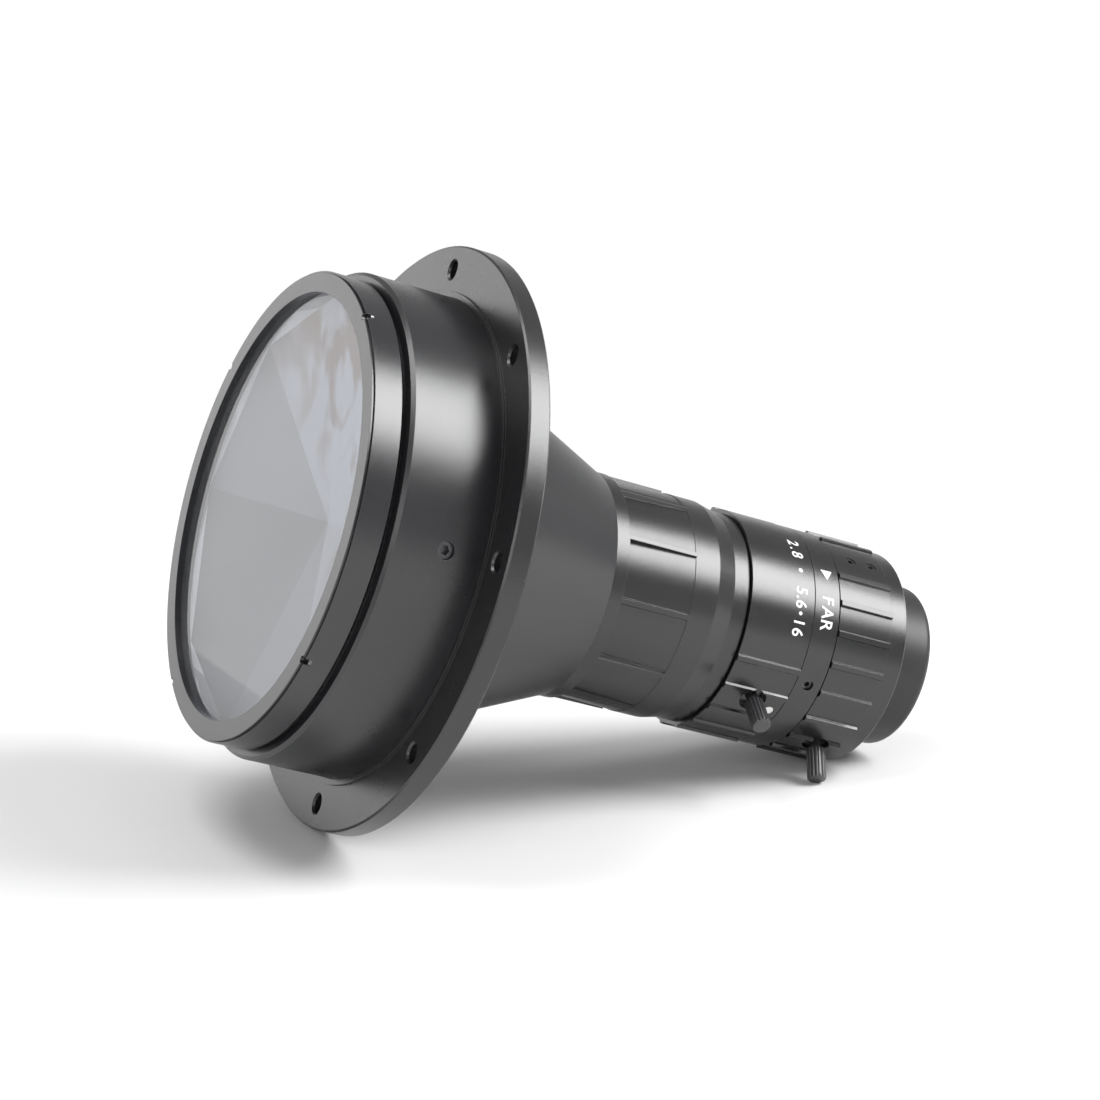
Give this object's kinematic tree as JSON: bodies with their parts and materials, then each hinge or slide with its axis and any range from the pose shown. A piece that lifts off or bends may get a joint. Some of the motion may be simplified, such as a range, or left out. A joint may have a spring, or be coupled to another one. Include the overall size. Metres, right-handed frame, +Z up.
{
  "type": "optical lens",
  "caption": "Large flanged machine vision lens with faceted front glass, tapered barrel, fluted sleeve, lockable iris and focus rings and a capped camera thread.",
  "frame": {"origin": "centre of the mounting flange's rear face, on the optical axis, as the lens lies on a level table", "axes": "+Z up from the table; +X level, from the front glass towards the camera end; the optical axis falls 19.44 degrees below +X towards the camera end; +Y level, away from the side with the lock screws"},
  "size_m": [0.1358, 0.102, 0.0973],
  "materials": {
    "black_anodised_front": "satin black anodised",
    "black_anodised_barrel": "satin black anodised",
    "black_anodised_flange": "satin black anodised",
    "black_anodised_cone": "satin black anodised",
    "black_anodised_sleeve": "satin black anodised",
    "black_anodised_camera_lens": "satin black anodised",
    "matt_black_inner": "matt black anodised",
    "black_oxide_steel": "black oxide",
    "dark_screws": "dark oxide",
    "bright_screws": "bright steel",
    "bright_steel": "ground",
    "blade_steel": "matt blackened spring steel",
    "window_glass": "polished, coated",
    "prism_glass": "polished",
    "optical_glass": "polished, coated",
    "black_plastic_cap": "fine matt"
  },
  "bodies": {
    "housing": {"front_retaining_ring": "black_anodised_front", "front_lock_screws": "bright_screws", "front_cell": "black_anodised_front", "front_window": "window_glass", "facet_prism": "prism_glass", "main_barrel": "black_anodised_barrel", "barrel_set_screws": "dark_screws", "mounting_flange": "black_anodised_flange", "objective_front_lens": "optical_glass", "cone_housing": "black_anodised_cone", "objective_rear_lens": "optical_glass", "objective_retaining_ring": "matt_black_inner", "grip_sleeve": "black_anodised_sleeve", "relay_lens": "optical_glass", "relay_spacer": "matt_black_inner", "field_lens": "optical_glass", "lens_core": "black_anodised_camera_lens", "band_set_screws": "dark_screws", "iris_carrier": "matt_black_inner", "iris_retainer": "matt_black_inner", "mount_ring": "black_anodised_camera_lens", "rear_glass": "optical_glass"},
    "iris_ring": {"iris_ring": "black_anodised_camera_lens", "iris_pin": "bright_steel", "iris_cam_ring": "matt_black_inner"},
    "iris_lock_screw": {"iris_lock_screw": "black_oxide_steel"},
    "focus_ring": {"focus_ring": "black_anodised_camera_lens", "focus_grub_screws": "dark_screws"},
    "focus_lock_screw": {"focus_lock_screw": "black_oxide_steel"},
    "focus_cell": {"focus_cell": "matt_black_inner", "focus_pin": "bright_steel", "focus_front_lens": "optical_glass", "focus_spacer": "matt_black_inner", "focus_rear_lens": "optical_glass", "focus_retaining_ring": "matt_black_inner"},
    "rear_cap": {"rear_cap": "black_plastic_cap"},
    "iris_blade_1": {"iris_blade_1": "blade_steel"},
    "iris_blade_2": {"iris_blade_2": "blade_steel"},
    "iris_blade_3": {"iris_blade_3": "blade_steel"},
    "iris_blade_4": {"iris_blade_4": "blade_steel"},
    "iris_blade_5": {"iris_blade_5": "blade_steel"}
  },
  "joints": [
    {"name": "iris_turn", "type": "hinge", "parent": "housing", "child": "iris_ring", "pos_m": [0, 0, 0], "axis": [0.943, 0, -0.3328], "range_deg": [-15, 45]},
    {"name": "iris_lock_turn", "type": "hinge", "parent": "iris_ring", "child": "iris_lock_screw", "pos_m": [0.05703, -0.01915, -0.03161], "axis": [-0.1638, -0.8706, -0.4639], "range_deg": [0, 360]},
    {"name": "focus_turn", "type": "hinge", "parent": "housing", "child": "focus_ring", "pos_m": [0, 0, 0], "axis": [0.943, 0, -0.3328], "range_deg": [-90, 90]},
    {"name": "focus_lock_turn", "type": "hinge", "parent": "focus_ring", "child": "focus_lock_screw", "pos_m": [0.07171, -0.0134, -0.04381], "axis": [-0.264, -0.6091, -0.7478], "range_deg": [0, 360]},
    {"name": "focus_cell_slide", "type": "slide", "parent": "housing", "child": "focus_cell", "axis": [0.943, 0, -0.3328], "range_m": [-0.00101, 0.00101]},
    {"name": "rear_cap_slide", "type": "slide", "parent": "housing", "child": "rear_cap", "axis": [0.943, 0, -0.3328], "range_m": [0, 0.012]},
    {"name": "iris_blade_1_turn", "type": "hinge", "parent": "housing", "child": "iris_blade_1", "pos_m": [0.06439, 0.00295, -0.00865], "axis": [0.943, 0, -0.3328], "range_deg": [-7.6, 22.6]},
    {"name": "iris_blade_2_turn", "type": "hinge", "parent": "housing", "child": "iris_blade_2", "pos_m": [0.06227, -0.01171, -0.01465], "axis": [0.943, 0, -0.3328], "range_deg": [-7.6, 22.6]},
    {"name": "iris_blade_3_turn", "type": "hinge", "parent": "housing", "child": "iris_blade_3", "pos_m": [0.05698, -0.01019, -0.02966], "axis": [0.943, 0, -0.3328], "range_deg": [-7.6, 22.6]},
    {"name": "iris_blade_4_turn", "type": "hinge", "parent": "housing", "child": "iris_blade_4", "pos_m": [0.05582, 0.00542, -0.03293], "axis": [0.943, 0, -0.3328], "range_deg": [-7.6, 22.6]},
    {"name": "iris_blade_5_turn", "type": "hinge", "parent": "housing", "child": "iris_blade_5", "pos_m": [0.06041, 0.01354, -0.01995], "axis": [0.943, 0, -0.3328], "range_deg": [-7.6, 22.6]}
  ],
  "couplings": [
    {"joint": "focus_cell_slide", "follows": "focus_turn", "m_per_rad": -0.00063662},
    {"joint": "iris_blade_1_turn", "follows": "iris_turn", "ratio": 0.5},
    {"joint": "iris_blade_2_turn", "follows": "iris_turn", "ratio": 0.5},
    {"joint": "iris_blade_3_turn", "follows": "iris_turn", "ratio": 0.5},
    {"joint": "iris_blade_4_turn", "follows": "iris_turn", "ratio": 0.5},
    {"joint": "iris_blade_5_turn", "follows": "iris_turn", "ratio": 0.5}
  ]
}
